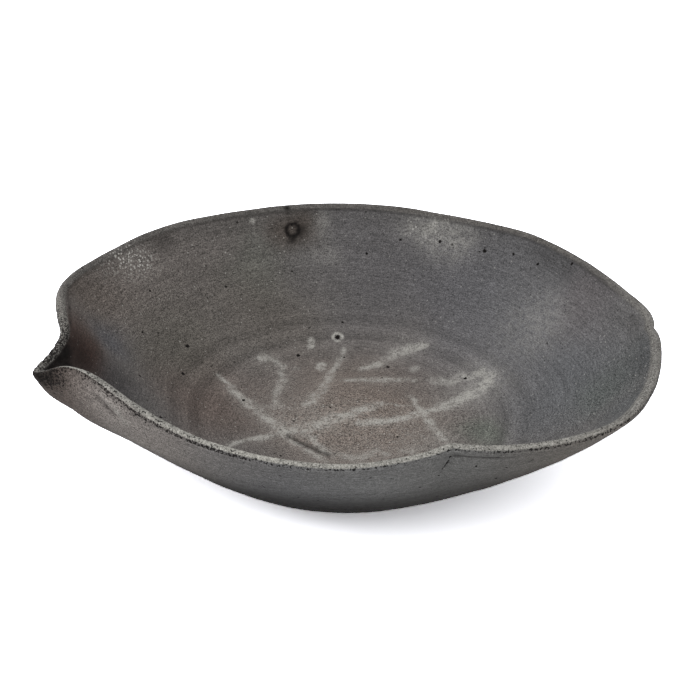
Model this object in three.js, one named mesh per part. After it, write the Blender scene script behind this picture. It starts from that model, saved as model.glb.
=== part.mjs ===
// A serving bowl of wheel-thrown stoneware: a shallow vessel whose rim was pressed out of round while the clay was
// soft and pinched to a small spout, standing on a low foot ring that was thrown apart and luted on.
// Millimetres and degrees, +Z up. The spout points to -X, and the origin is on the table under the middle of the bowl.
import * as THREE from "three";

// Vessel
const FLOOR_RADIUS = 63;
const FLOOR_THICKNESS = 6;
const FLOOR_DISH = 0.8;
const RIM_RADIUS = 122.3;
const DEPTH = 51.5;
const WALL_FLARE = 0.4;
const WALL_THICKNESS = 5;
const RIM_THICKNESS = 4.2;
const LIP_CROWN = 1.5;

// Foot ring: how far its outside is set in from the floor's edge, how far the flat face that it is luted to runs
// past it on both sides, and how far the underside within it is hollowed.
const FOOT_INSET = 8;
const FOOT_HEIGHT = 5.5;
const FOOT_WIDTH = 8;
const FOOT_BEVEL = 1.2;
const FOOT_TAPER = 1.5;
const UNDERSIDE_MARGIN = 3;
const UNDERSIDE_HOLLOW = 0.9;

// The rim and the wall under it, as they leave the thrown shape: [angle, how far out (+) or in (-) the rim went, how
// far up (+) or down (-), how far the wall below it bellies out (+) or in (-)]. Angles run from +X, the side across
// from the spout, through +Y, the far side.
const RIM_PRESSES = [
  [4, 11.1, -0.9, 0],
  [12, 5.8, -0.9, 0],
  [22, 1.6, -0.9, 0],
  [33, -1.2, -0.9, 0],
  [43, -3.2, -0.9, 0],
  [57, -9, -0.9, 0],
  [70, -11, -0.9, 0],
  [88, -9.8, -0.9, 0],
  [104, -7.6, -0.9, 0],
  [118, -4.4, -0.9, 0],
  [135, 3.2, -0.9, 0],
  [150, 6.6, -0.9, 0],
  [164, 12.2, -0.9, 0],
  [174, 6.4, -0.1, 0],
  [183, 0, 0.1, 2],
  [191, -0.4, 1.1, 6],
  [201, 0.6, 5.2, 12.5],
  [210, -3, 7.8, 9.5],
  [222, -8.4, 3.6, 5],
  [243, -10, 1.7, 0.5],
  [268, -9.2, 1.4, 0],
  [290, -12.2, 1.1, 2],
  [303, -5.6, -0.3, -0.5],
  [314, 4.6, -0.9, -1],
  [325, 13, -0.9, 0],
  [337, 14, -0.9, 0],
  [350, 12.6, -0.9, 0],
];
const BELLY_RISE = 3;

// Places where a finger pinched or pressed the rim sharply: how far out and up the rim went there, how many degrees
// it takes to fade on each side, how round its crest is, and how steeply it dies away down the wall.
const SPOUT = { at: 195.6, out: 14.6, up: -6.5, before: 5.2, after: 3.6, round: 0.8, fade: 3 };
const FRONT_CREASE = { at: 292.4, out: -3.2, up: 0.8, before: 4, after: 5, round: 1.2, fade: 3.5 };
const SIDE_CREASE = { at: 358.9, out: -2.2, up: 0.2, before: 1.4, after: 1.8, round: 0.5, fade: 6 };
const PINCHES = [SPOUT, FRONT_CREASE, SIDE_CREASE];

// Mesh fineness
const COLUMNS = 132;
const WALL_ROWS = 11;
const LIP_ROWS = 4;
const FLOOR_RINGS = 6;
const UNDERSIDE_RINGS = 4;
const FOOT_SEGMENTS = 72;
const CROWDING = 5;
const CROWD_SPREAD = 9;

const DEGREES = Math.PI / 180;
const FULL_TURN = 360;
const FLOOR_TOP = FOOT_HEIGHT + FLOOR_THICKNESS;
const FOOT_RADIUS = FLOOR_RADIUS - FOOT_INSET;
const UNDERSIDE_RADIUS = FOOT_RADIUS + UNDERSIDE_MARGIN;
const HOLLOW_RADIUS = FOOT_RADIUS - FOOT_WIDTH - UNDERSIDE_MARGIN;

// The signed angle from b to a, between -180 and 180.
const turnBetween = (a, b) => ((((a - b + 180) % FULL_TURN) + FULL_TURN) % FULL_TURN) - 180;

// One of the rim's pressed values at an angle, on a smooth closed curve through the listed ones.
function pressAt(angle, column) {
  const n = RIM_PRESSES.length;
  const from = RIM_PRESSES[0][0];
  const a = from + ((((angle - from) % FULL_TURN) + FULL_TURN) % FULL_TURN);
  let i = n - 1;
  while (RIM_PRESSES[i][0] > a) i -= 1;
  const entry = (k) => {
    const turns = Math.floor(k / n);
    const press = RIM_PRESSES[k - turns * n];
    return { at: press[0] + turns * FULL_TURN, value: press[column] };
  };
  const [p0, p1, p2, p3] = [entry(i - 1), entry(i), entry(i + 1), entry(i + 2)];
  const span = p2.at - p1.at;
  const t = (a - p1.at) / span;
  const m1 = ((p2.value - p0.value) / (p2.at - p0.at)) * span;
  const m2 = ((p3.value - p1.value) / (p3.at - p1.at)) * span;
  const t2 = t * t;
  const t3 = t2 * t;
  return (
    (2 * t3 - 3 * t2 + 1) * p1.value + (t3 - 2 * t2 + t) * m1 + (3 * t2 - 2 * t3) * p2.value + (t3 - t2) * m2
  );
}

// How much of a pinch is felt at an angle, from 1 at its crest down to 0.
function pinchShare(pinch, angle) {
  const turn = turnBetween(angle, pinch.at);
  const spread = turn < 0 ? pinch.before : pinch.after;
  return Math.exp(-(Math.hypot(turn, pinch.round) - pinch.round) / spread);
}

// How much of the belly shows at a climb, from 0 at the floor and at the rim to 1 where it is fullest.
function bellyShare(climb) {
  const fullest = BELLY_RISE / (BELLY_RISE + 1);
  const share = (c) => Math.pow(Math.max(c, 0), BELLY_RISE) * (1 - c);
  return share(climb) / share(fullest);
}

// A point of the inner wall at an angle; climb is 0 at the floor's edge and 1 at the rim.
function innerWall(angle, climb) {
  const rise = WALL_FLARE * climb + (1 - WALL_FLARE) * climb * climb;
  let reach = FLOOR_RADIUS + (RIM_RADIUS + pressAt(angle, 1) - FLOOR_RADIUS) * climb;
  reach += pressAt(angle, 3) * bellyShare(climb);
  let height = FLOOR_TOP + (DEPTH + pressAt(angle, 2)) * rise;
  for (const pinch of PINCHES) {
    const share = pinchShare(pinch, angle) * Math.pow(Math.max(climb, 0), pinch.fade);
    reach += pinch.out * share;
    height += pinch.up * share;
  }
  return new THREE.Vector3(reach * Math.cos(angle * DEGREES), reach * Math.sin(angle * DEGREES), height);
}

// The wall's outward normal and its direction of climb at a point.
function wallFrame(angle, climb) {
  const angleStep = 1.5;
  const climbStep = 0.01;
  const along = innerWall(angle + angleStep, climb).sub(innerWall(angle - angleStep, climb));
  const up = innerWall(angle, climb + climbStep).sub(innerWall(angle, climb - climbStep)).normalize();
  return { outward: along.cross(up).normalize(), up };
}

// The wall thins from the floor to the rim.
const thicknessAt = (climb) => WALL_THICKNESS + (RIM_THICKNESS - WALL_THICKNESS) * climb;

function outerWall(angle, climb) {
  return innerWall(angle, climb).addScaledVector(wallFrame(angle, climb).outward, thicknessAt(climb));
}

// A point on the lip, from the outer edge (turn 0) over the crown to the inner edge (turn 180).
function lip(angle, turn) {
  const { outward, up } = wallFrame(angle, 1);
  const half = RIM_THICKNESS / 2;
  return innerWall(angle, 1)
    .addScaledVector(outward, half + half * Math.cos(turn * DEGREES))
    .addScaledVector(up, LIP_CROWN * Math.sin(turn * DEGREES));
}

function flatRing(radius, z) {
  return (angle) => new THREE.Vector3(radius * Math.cos(angle * DEGREES), radius * Math.sin(angle * DEGREES), z);
}

// A ring of a shallow round dish; share is 0 at its middle, where it is deepest, and 1 at its edge.
const dishRing = (radius, share, edge, depth) => flatRing(radius * share, edge + depth * (1 - share * share));

// The angles of the mesh's columns: they crowd together at the spout and the creases.
function columnAngles() {
  const density = (angle) =>
    PINCHES.reduce((sum, p) => sum + CROWDING * Math.exp(-((turnBetween(angle, p.at) / CROWD_SPREAD) ** 2)), 1);
  const sums = [0];
  for (let angle = 0; angle < FULL_TURN; angle += 1) sums.push(sums[angle] + density(angle + 0.5));
  const angles = [];
  for (let i = 0; i < COLUMNS; i += 1) {
    const wanted = (sums[FULL_TURN] * i) / COLUMNS;
    const k = sums.findIndex((s) => s > wanted) - 1;
    angles.push(k + (wanted - sums[k]) / (sums[k + 1] - sums[k]));
  }
  return angles;
}

// A closed skin over rings of points that run from a lower pole to an upper pole.
function skin(rings, bottom, top) {
  const angles = columnAngles();
  const vertices = [bottom, top];
  for (const ring of rings) for (const angle of angles) vertices.push(ring(angle));
  const at = (ring, column) => 2 + ring * COLUMNS + (column % COLUMNS);
  const faces = [];
  const last = rings.length - 1;
  for (let c = 0; c < COLUMNS; c += 1) {
    faces.push(0, at(0, c + 1), at(0, c));
    for (let r = 0; r < last; r += 1) {
      faces.push(at(r, c), at(r, c + 1), at(r + 1, c + 1));
      faces.push(at(r, c), at(r + 1, c + 1), at(r + 1, c));
    }
    faces.push(at(last, c), at(last, c + 1), 1);
  }
  const geometry = new THREE.BufferGeometry().setFromPoints(vertices);
  geometry.setIndex(faces);
  geometry.computeVertexNormals();
  return geometry;
}

// Thrown vessel: hollowed underside, flat seat for the foot, wall, lip, inner wall and a floor that dips to its middle.
function bowlBody() {
  const rings = [];
  for (let i = 1; i <= UNDERSIDE_RINGS; i += 1) {
    rings.push(dishRing(HOLLOW_RADIUS, i / UNDERSIDE_RINGS, FOOT_HEIGHT, UNDERSIDE_HOLLOW));
  }
  rings.push(flatRing(UNDERSIDE_RADIUS, FOOT_HEIGHT));
  for (let i = 0; i < WALL_ROWS; i += 1) {
    const climb = i / (WALL_ROWS - 1);
    rings.push((angle) => outerWall(angle, climb));
  }
  for (let i = 1; i <= LIP_ROWS; i += 1) {
    const turn = (180 * i) / (LIP_ROWS + 1);
    rings.push((angle) => lip(angle, turn));
  }
  for (let i = WALL_ROWS - 1; i >= 0; i -= 1) {
    const climb = i / (WALL_ROWS - 1);
    rings.push((angle) => innerWall(angle, climb));
  }
  for (let i = FLOOR_RINGS - 1; i > 0; i -= 1) {
    rings.push(dishRing(FLOOR_RADIUS, i / FLOOR_RINGS, FLOOR_TOP, -FLOOR_DISH));
  }
  const bottom = new THREE.Vector3(0, 0, FOOT_HEIGHT + UNDERSIDE_HOLLOW);
  const top = new THREE.Vector3(0, 0, FLOOR_TOP - FLOOR_DISH);
  return skin(rings, bottom, top);
}

// Foot ring: its top is luted flat to the underside, and its bevelled lower face stands on the table.
function footRing() {
  const inside = FOOT_RADIUS - FOOT_WIDTH;
  const profile = [
    [inside, FOOT_HEIGHT],
    [inside, FOOT_BEVEL],
    [inside + FOOT_BEVEL, 0],
    [FOOT_RADIUS - FOOT_TAPER - FOOT_BEVEL, 0],
    [FOOT_RADIUS - FOOT_TAPER, FOOT_BEVEL],
    [FOOT_RADIUS, FOOT_HEIGHT],
    [inside, FOOT_HEIGHT],
  ].map(([r, z]) => new THREE.Vector2(r, z));
  return new THREE.LatheGeometry(profile, FOOT_SEGMENTS).rotateX(Math.PI / 2);
}

const stoneware = new THREE.MeshStandardMaterial({ color: 0x63605d, roughness: 0.88, metalness: 0 });
const bareClay = new THREE.MeshStandardMaterial({ color: 0x57514d, roughness: 0.95, metalness: 0 });

const body = new THREE.Mesh(bowlBody(), stoneware);
body.name = "bowl_body";
const foot = new THREE.Mesh(footRing(), bareClay);
foot.name = "foot_ring";

const bowl = new THREE.Group();
bowl.name = "serving_bowl";
bowl.add(body, foot);

// The origin goes under the middle of the whole outline, which isn't the middle of the thrown foot.
const middle = new THREE.Box3().setFromObject(bowl).getCenter(new THREE.Vector3());
for (const piece of [body, foot]) piece.position.set(-middle.x, -middle.y, 0);

export default bowl;
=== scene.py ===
"""The looks of a serving bowl of dark wheel-thrown stoneware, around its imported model.

The bowl and its foot ring are rounded finely, get the relief of thrown clay, and carry the pale
marks that straw left in the firing. Blender's lengths are metres. The relief and the marks are
worked out in millimetres about the axis that the bowl was thrown on, with X to the right, Y away
from the viewer and Z up from the table.
"""

import math

import bmesh
import bpy
import numpy as np
from mathutils import Euler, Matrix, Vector, noise


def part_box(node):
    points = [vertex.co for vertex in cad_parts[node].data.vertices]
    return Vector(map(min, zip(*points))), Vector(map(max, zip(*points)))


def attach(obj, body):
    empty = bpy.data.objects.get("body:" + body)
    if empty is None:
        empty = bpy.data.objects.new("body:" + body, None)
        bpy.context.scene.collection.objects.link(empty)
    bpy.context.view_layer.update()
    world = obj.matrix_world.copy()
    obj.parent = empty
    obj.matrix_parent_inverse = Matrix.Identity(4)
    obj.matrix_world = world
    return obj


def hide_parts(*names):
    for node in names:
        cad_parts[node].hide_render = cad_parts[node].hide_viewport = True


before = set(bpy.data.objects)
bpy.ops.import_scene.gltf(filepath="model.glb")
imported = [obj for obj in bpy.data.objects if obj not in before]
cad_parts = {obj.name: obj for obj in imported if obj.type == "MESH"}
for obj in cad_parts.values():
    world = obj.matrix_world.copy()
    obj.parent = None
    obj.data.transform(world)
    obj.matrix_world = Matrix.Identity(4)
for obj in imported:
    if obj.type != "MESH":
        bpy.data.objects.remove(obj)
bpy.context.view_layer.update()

MM = 0.001

# Camera: how far it stands from the middle of the inner floor, how high above the horizon it looks
# from, its focal length in pixels of the photograph, and the pixel on which the floor's middle lies
PHOTO_SIDE = 700
CAMERA_DISTANCE = 0.915
CAMERA_ELEVATION = math.radians(33.5)
FOCAL_PIXELS = 2000
FLOOR_PIXEL = (348.4, 419.5)
SENSOR_WIDTH = 36

# Light, in metres and watts: an even surround, and one soft lamp up to the left of the viewer
SURROUND_STRENGTH = 0.81
WINDOW_PLACE = (-0.9, -0.54, 1.05)
WINDOW_AIM = (0, 0, 0.04)
WINDOW_SIDE = 0.8
WINDOW_POWER = 7.0

# The stage, a wide pale square: straight from the camera it counts as brighter, so that it shows
# white up to the bowl's shadow
STAGE_HALF = 3.0
STAGE_COLOUR = (0.5, 0.5, 0.5)
STAGE_SEEN = (3.5, 3.52, 3.65)
STAGE_MIRRORED = (1, 1, 1)

# Fineness: levels of rounding, how near corners join, in metres, and the steps round the foot
FINE_LEVELS = 3
MERGE_DISTANCE = 1e-6
FOOT_SEGMENTS = 360

# The thrown shape, in millimetres: the inner floor's height, how far its middle is dished and its
# radius, how strongly the wall flares, and the way up the wall
FLOOR_TOP = 11.5
FLOOR_DISH = 0.8
FLOOR_RADIUS = 63
WALL_FLARE = 0.4
WALL_TRAVEL = 88

# How the clay faces, from 1 at the inside to -1 at the outside: where each side fades in, and the
# angle to which it has turned away at the lip's outer edge
INSIDE_FACING = (0.2, 0.6)
OUTSIDE_FACING = (0.1, -0.4)
LIP_START = math.radians(81)

# Where the rim fades in below its top, and the heights under which no inside and no rim is found
RIM_DEPTH = (7, 4)
INSIDE_LOWEST = 8.5
RIM_LOWEST = 26.5

# The foot's section, in millimetres: its rounded edges, its smoothed joint with the bowl, how far
# the outer edge is set in, what counts as touching the table, and the steps in each corner
FOOT_ROUNDING = 1.3
FOOT_FILLET = 1.6
FOOT_SET_IN = 0.3
FOOT_TOUCHING = 0.01
CORNER_STEPS = 6

# How far the noise is moved on for each seed
SEED_STEP = 31.7

# Relief, in millimetres: the slow wobble, and the ridges of throwing with their rise and fade
WOBBLE_HEIGHT = 0.3
WOBBLE_SIZE = 55
RIDGE_HEIGHT = 0.17
RIDGE_PITCH = 13.5
RIDGE_FIRST_CREST = 66
RIDGES_RISE = (50, 64)
RIDGES_FADE = (88, 105)
RIDGES_FADED = 0.75
FINE_RIDGE_HEIGHT = 0.02
FINE_RIDGE_PITCH = 4.3
FINE_RIDGE_DRIFT = 1.5
FINE_RIDGE_DRIFT_SIZE = 60
FOOT_EDGE = (60, 70)

# Relief, in millimetres: grit with its share off the lip and its rise and fade over the lip, torn
# clay with the span of noise that tears it, the rim's wave, and pits
GRIT_HEIGHT = 0.2
GRIT_SIZE = 1.4
GRIT_OFF_LIP = 0.12
GRIT_RISE = (0, 0.15)
GRIT_FADE = (1, 0.8)
TORN_DEPTH = 0.25
TORN_SIZE = 1.1
TORN_SPAN = (0, 0.5)
RIM_WAVE_HEIGHT = 0.25
RIM_WAVE_SIZE = 13
PIT_DEPTH = 0.5

# Pale marks that straw left on the floor: [x, y, width] along each one, then how pale it is
STRAW_MARKS = [
    ([[-61, 33, 1.5], [-55, 26, 4], [-49, 16, 4.5], [-39, 3, 5], [-30, -9, 5]], 0.78),
    ([[-30, -9, 4], [-18, -11, 5], [-15, -20, 3], [-7, -30, 3.5]], 0.75),
    ([[-30, -12, 3], [-20, -23, 3], [-11, -33, 3.5]], 0.7),
    ([[-53, -21, 2.5], [-42, -16, 4], [-30, -11, 5], [-19, -9, 7], [-9, -1, 8], [5, 8, 6],
      [15, 12, 3]], 0.75),
    ([[-41, 51, 4], [-35, 50, 3], [-32, 43, 3.5], [-31, 33, 3.2], [-33, 22, 3.5], [-34, 14, 4]], 0.6),
    ([[-2, 60, 2.5], [-5, 48, 3], [-9, 36, 3.6], [-14, 21, 4.2], [-19, 13, 4.5]], 0.65),
    ([[6, 43, 3], [14, 47, 4.5], [18, 51, 5], [22, 56, 6], [29, 58, 5.5], [37, 59, 3]], 0.78),
    ([[-2, 33, 2], [5, 34, 2.8], [14, 33, 3], [23, 33, 3], [31, 33, 2]], 0.75),
    ([[40, 32, 5], [47, 31, 6], [54, 34, 6], [66, 33, 5]], 0.65),
    ([[5, -3, 5], [20, -1, 4.5], [32, 4, 5], [42, 9, 6], [53, 16, 6.5], [61, 22, 7], [66, 28, 6]], 0.85),
    ([[29, 20, 2], [33, 7, 3], [38, -6, 3.5], [43, -17, 3]], 0.78),
    ([[12, 14, 0.8], [30, 11, 0.8]], 0.6),
    ([[-3, -29, 4], [4, -32, 5], [14, -25, 3], [17, -28, 3]], 0.45),
    ([[23, -25, 3], [28, -26, 3]], 0.45),
]

# Pale spots: [x, y, width, how pale]
PALE_SPOTS = [
    [-18.4, 62, 3.6, 0.8],
    [-18, 65, 3.6, 0.85],
    [-13.2, 43.4, 4.6, 0.95],
    [-12.8, 46.6, 4.6, 0.95],
    [-41.3, 50.4, 4.6, 0.75],
    [-25, 43, 3.2, 0.5],
    [-30, 46, 2.4, 0.5],
    [31, 42, 5, 0.5],
    [50, 2, 1.4, 0.6],
    [-47, 104, 2.4, 1],
]

# Hazy paler patches inside: [x, y, width, how pale]
HAZES = [
    [31, 103, 11, 0.4],
    [42, 98, 16, 0.6],
    [52, 93, 13, 0.5],
    [-15, 107, 9, 0.3],
    [-14, 99, 10, 0.25],
    [-105, 67, 14, 0.15],
    [60, 24, 24, 0.3],
    [-18, 2, 40, 0.15],
    [88, 46, 30, 0.25],
    [8, -28, 40, 0.12],
    [30, -22, 26, 0.2],
    [-33, 12, 9, 0.3],
]

# Where white grit shows through, and painted glints of light in the cluster at the back left:
# [x, y, width, how much]
WHITE_GRIT_AND_GLINTS = [
    [-112, 60, 8, 0.6],
    [-107, 63.5, 10, 0.9],
    [-102, 69, 11, 1],
    [-97, 73, 9, 0.6],
    [32, 102, 8, 0.8],
    [42, 97, 12, 0.4],
    [-28, 8, 26, 0.25],
    [24, -8, 50, 0.2],
]

# Small black pits inside: [x, y, width]
BLACK_PITS = [
    [-5, 68, 2.2],
    [-24, 55, 1.9],
    [-49, 16, 1.7],
    [19, 45, 1.6],
    [55, 33, 1.7],
    [-2, 54, 1.2],
    [-25, -1, 1.2],
    [-3, 75, 1.1],
    [-30, -29, 1.2],
    [-8, 10, 1.1],
    [22, -14, 1.3],
    [66, 85, 1.9],
    [79, 79, 1.4],
    [105, 58, 1.5],
    [90, 70, 1.4],
    [26, 100, 1.3],
    [45, 95, 1.5],
    [9, 99, 1.2],
    [-94, 60, 1.3],
    [-59, 79, 1.2],
    [-96, 39, 1.4],
    [-76, 44, 2],
    [-77, 27, 1.9],
    [-95, 8, 1.4],
    [-84, -16, 1.4],
]

# Patches of painted shade in the folds of the inner wall, and the smudges by the burnt ring:
# [x, y, width, how dark]
SHADE_PATCHES = [
    [-89, 86, 13, 0.5],
    [96, 71, 18, 0.3],
    [105, 60, 16, 0.25],
    [88, 77, 12, 0.2],
    [129, 8, 9, 0.25],
    [-104, -11, 30, 0.3],
]
SMUDGES = [
    [-30.3, 110.6, 2.6, 0.95],
    [-30, 109, 1.8, 0.7],
    [-29.6, 107.8, 1.8, 0.5],
    [-25.9, 107.2, 2, 0.85],
    [-23.3, 105.4, 5, 0.7],
    [-23.6, 103.8, 3.6, 0.7],
    [-27.7, 102.2, 3.6, 0.85],
]

# Soot that gathered in the spout, with painted shade in its deep fold: [x, y, z, width, how dark]
SPOUT_SOOT_AND_SHADE = [
    [-129, -30, 59.5, 14, 1],
    [-126.5, -25, 60, 15, 1],
    [-124, -20, 60, 15, 1],
    [-123, -23, 55, 13, 0.9],
    [-119, -14, 53, 22, 0.6],
    [-119, -6, 56, 18, 0.4],
    [-125, -12, 61, 9, 0.8],
    [-113, -8, 47, 26, 0.3],
]

# The ring that a pebble of ash left inside, and the burnt ring on the back wall: [x, y, radius,
# thickness]
PALE_RING = [-5, 68, 2.1, 1.5]
DARK_RING = [-27.8, 104.9, 3.2, 2]

# The dark thread of straw left in one of the pale marks: [x, y, width] along it
STRAW_THREAD = [[-28, -13, 1.6], [-19, -21.5, 2.4], [-9, -29, 2.8]]

# Black pits on the outside: [x, y, z, width]
OUTSIDE_PITS = [
    [40.7, -102.7, 60.6, 1.2],
    [39.9, -102.2, 57.4, 1.3],
    [38.9, -102.1, 55.5, 0.9],
    [38, -101.8, 53.8, 0.7],
    [36.5, -100.8, 50.3, 0.8],
    [51.6, -98.5, 53, 1.2],
    [61, -85, 38, 1.3],
    [64.4, -92.5, 48.3, 1],
    [74.8, -92.9, 52.3, 1.2],
]

# Strokes on the outside and the inside: two ends, [x, y, z, width], how deep they are, or raised
# where that is negative, and their tone, pale (+) or dark (-): painted shade in the dents, creases
# and groove, and a painted highlight on the raised side of the finger dent
STROKE_DEPTH = 2
STROKE_SHADING = 3
OUTSIDE_STROKES = [
    [[-104.5, -65.2, 64.4, 3.4], [-101.2, -68, 62.6, 2.6], 0.35, -0.4],
    [[-100.6, -68.5, 62, 2], [-97, -71, 59.5, 2.2], 0.45, -0.6],
    [[-102, -67.3, 67.5, 2.2], [-95, -72.3, 62, 3.2], -0.3, 0.2],
    [[-95, -72.3, 62, 3.2], [-91.5, -73.6, 57.5, 4], -0.2, 0.25],
    [[42.6, -102.5, 61.4, 1.4], [60, -100.6, 58.8, 1.4], 0.25, -0.55],
    [[60, -100.6, 58.8, 1.2], [69, -97.9, 57.2, 0.9], 0.15, -0.4],
    [[40.7, -102.7, 61, 1.2], [38, -101.8, 53.8, 1], 0.2, -0.12],
]
INSIDE_STROKES = [
    [[-128.9, 36, 61, 1.6], [-126.4, 18, 59, 1.8], 0, -0.45],
    [[-126.4, 18, 59, 1.8], [-124.2, 3, 59.8, 1.8], 0, -0.5],
    [[-124.2, 3, 59.8, 1.8], [-123.4, -12, 60.5, 2.2], 0, -0.55],
]

# Soot on the outside by the spout, with painted shadow under its lip: [x, y, z, width, how dark]
OUTSIDE_SOOT_AND_SHADOW = [
    [-132, -41.6, 60.5, 11, 0.85],
    [-128, -44, 61, 10, 0.75],
    [-124.5, -46, 62, 8, 0.6],
    [-121, -49.5, 63.5, 8, 0.35],
    [-124, -47, 58, 18, 0.3],
]

# Where the outside near the spout is torn: [x, y, z, width, how much]
OUTSIDE_TORN = [
    [-131.5, -42.4, 60.5, 10, 1.2],
    [-128, -44, 60.5, 11, 1.25],
    [-124, -46.5, 61.5, 10, 1.15],
    [-120.5, -50, 63.5, 7, 0.9],
    [-124, -47.5, 58, 12, 0.4],
]

# The lip around the rim: the degrees, how worn and pale it is, how far the pale band reaches down
# inside, how pitted it is, where the pale band and the row of pits start, and how strong the painted
# highlight along the crown is. Both starts run from the outer edge, 0, to the inner edge, 1.
LIP_COLUMNS = ("degrees", "worn", "reach", "pitted", "band start", "pits start", "lit_crown")
LIP = [
    [10, 0.2, 0.4, 0.2, 0.3, 0.1, 0.2],
    [20, 0.05, 0.2, 0.1, 0.3, 0.1, 0.5],
    [36, 0, 0, 0.1, 0.3, 0.1, 0.8],
    [60, 0, 0, 0.1, 0.3, 0.1, 0.7],
    [78, 0, 0, 0.1, 0.3, 0.1, 0.2],
    [115, 0, 0, 0.1, 0.3, 0.1, 0.2],
    [140, 0, 0, 0.1, 0.3, 0.1, 0.5],
    [158, 0, 0.1, 0.25, 0.3, 0.1, 0.6],
    [166, 0, 0.1, 0.4, 0.3, 0.1, 0.5],
    [171, 0.25, 0.3, 0.65, 0.3, 0.1, 0.3],
    [177, 0.35, 0.4, 1, 0.3, 0.1, 0],
    [183, 0.45, 0.5, 1.25, 0.3, 0, 0],
    [190, 0.35, 0.5, 1.3, 0.36, 0, 0],
    [195, 0.4, 0.6, 1, 0.5, 0, 0],
    [197, 0.8, 0.6, 0.8, 0.62, 0.1, 0],
    [201, 0.75, 0.6, 0.7, 0.6, 0.2, 0],
    [204, 0.7, 0.6, 0.6, 0.57, 0.34, 0],
    [208, 0.65, 0.8, 0.8, 0.49, 0.28, 0],
    [216, 0.65, 0.9, 0.8, 0.46, 0.22, 0],
    [224, 0.7, 1, 0.8, 0.45, 0.15, 0],
    [245, 0.95, 1, 0.8, 0.46, 0.15, 0],
    [254, 1, 1, 0.5, 0.45, 0.25, 0],
    [285, 0.95, 1, 0.55, 0.44, 0.26, 0],
    [299, 0.75, 0.8, 0.6, 0.43, 0.25, 0],
    [310, 0.65, 0.7, 0.65, 0.44, 0.27, 0],
    [318, 0.6, 0.8, 0.6, 0.44, 0.29, 0],
    [330, 0.4, 0.9, 0.5, 0.42, 0.28, 0],
    [345, 0.3, 0.8, 0.4, 0.38, 0.2, 0],
    [358, 0.25, 0.5, 0.3, 0.3, 0.1, 0.1],
]

# Where the clay is sandier (+) or smoother (-) than elsewhere, inside and outside: [x, y, width,
# how much]
SANDY_INSIDE = [
    [-95, 52, 70, 0.3],
    [5, -10, 76, 0.8],
    [15, 62, 60, -0.3],
    [82, 38, 64, -0.3],
    [112, -40, 50, 0.8],
]
SANDY_OUTSIDE = [
    [-100, -70, 60, 0.3],
    [20, -105, 110, -0.35],
]

# The lip's pale band: how far the crown drops, how softly the band starts, and how it ends inside
LIP_CROWN = 0.5
LIP_DROP = 1.2
LIP_EDGE = 0.04
BAND_END_OUT = 0.8
BAND_END_IN = 1.4
BAND_END_LEAST = 0.1

# The row of pits: how far it runs into the band and fades before it, and its strength
ROW_OVERLAP = 0.09
ROW_FADE = 0.06
ROW_STRENGTH = 1.5
ROW_MOST = 1.15
SCATTERED_PITS = 0.85

# The painted highlight along the crown, by its place over the lip: where it fades in and out
LIT_CROWN_IN = (0.36, 0.42)
LIT_CROWN_OUT = (0.62, 0.54)

# How places stray, so that marks end raggedly: the size of the noise and how far it moves them,
# in millimetres, and its seed
BROAD_STRAY = (26, 7, 50)
ASH_STRAY = (6, 1.0, 20)
ASH_FINE_STRAY = (2.2, 0.7, 24)
PATCH_STRAY = (14, 3, 30)
SPOUT_STRAY = (9, 1.5, 60)
BURNT_STRAY = (3, 0.7, 40)
BURNT_FINE_STRAY = (1.5, 0.6, 44)
THREAD_STRAY = (5, 0.9, 20)

# How sharply each kind of mark ends, from 2, which is soft, upwards
SANDY_EDGE = 2.2
STRAW_EDGE = 2.4
SPOUT_EDGE = 2.4
STROKE_EDGE = 2.5
THREAD_EDGE = 2.5
DRIFT_EDGE = 2.6
PIT_EDGE = 3
PALE_RING_EDGE = 3
DARK_RING_EDGE = 3.5
PALE_SPOT_EDGE = 4

# Pale marks: the halo's strength and width beside a mark's own, and the strength of the ring
HALO_STRENGTH = 0.22
HALO_WIDTH = 2.2
PALE_RING_STRENGTH = 1.1

# Dark marks: how strong each is, the hollow's width in ring radii, and how much of the soot and
# painted shade inside is taken off the lip
DARK_RING_STRENGTH = 0.95
THREAD_STRENGTH = 0.6
HOLLOW_STRENGTH = 0.9
HOLLOW_WIDTH = 1.1
ROW_SHADE = 0.3
OFF_THE_LIP = 0.7

# Painted shade: the outside darkens from one height down to another, less so by the foot and
# towards the right
UNDER_STRENGTH = 0.85
UNDER_HEIGHTS = (50, 24)
UNDER_FOOT_LIFT = 0.35
UNDER_FOOT_HEIGHTS = (14, 8)
UNDER_RIGHT_LIFT = 0.35
UNDER_RIGHT_PLACES = (0, 50)

# Inside the rim, where its lip isn't worn, runs a dark line in a soft shade: their strengths and
# their depths below the rim, and how worn the lip is where they fade in
RIM_LINE_STRENGTH = 0.45
RIM_LINE_IN = (1.0, 1.8)
RIM_LINE_OUT = (3.2, 2.4)
RIM_SHADE_STRENGTH = 0.14
RIM_SHADE_DEPTH = (11, 3)
DULL_RIM = (0.3, 0)

# Painted light and shade in soft rings over the throwing ridges around the foot of the wall, by
# the way up the wall
RIDGE_SHADING = 0.14
RIDGE_SHADING_RISE = (55, 66)
RIDGE_SHADING_FADE = (84, 98)

# Noises of the clay: spacing in millimetres, detail and roughness. Throwing draws two of them out
# around the axis, each by its stretch, and one makes the places of the grains wander.
SPECK = (0.55, 1, 0.5)
GRAIN = (1.9, 1, 0.5)
BLOTCH = (3.2, 2, 0.6)
CLOUD = (16, 4, 0.6)
RAGS = (0.9, 1, 0.5)
WANDER = (1.2, 1, 0.5)
WANDER_REACH = 0.9
STREAK = (1.0, 2, 0.6)
STREAK_STRETCH = (0.035, 0.035, 1)
DASH = (0.7, 1, 0.5)
DASH_STRETCH = (0.3, 0.3, 1)
FOOT_GRAIN = (0.9, 3, 0.65)
FOOT_CLOUD = (9, 4, 0.6)

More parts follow.
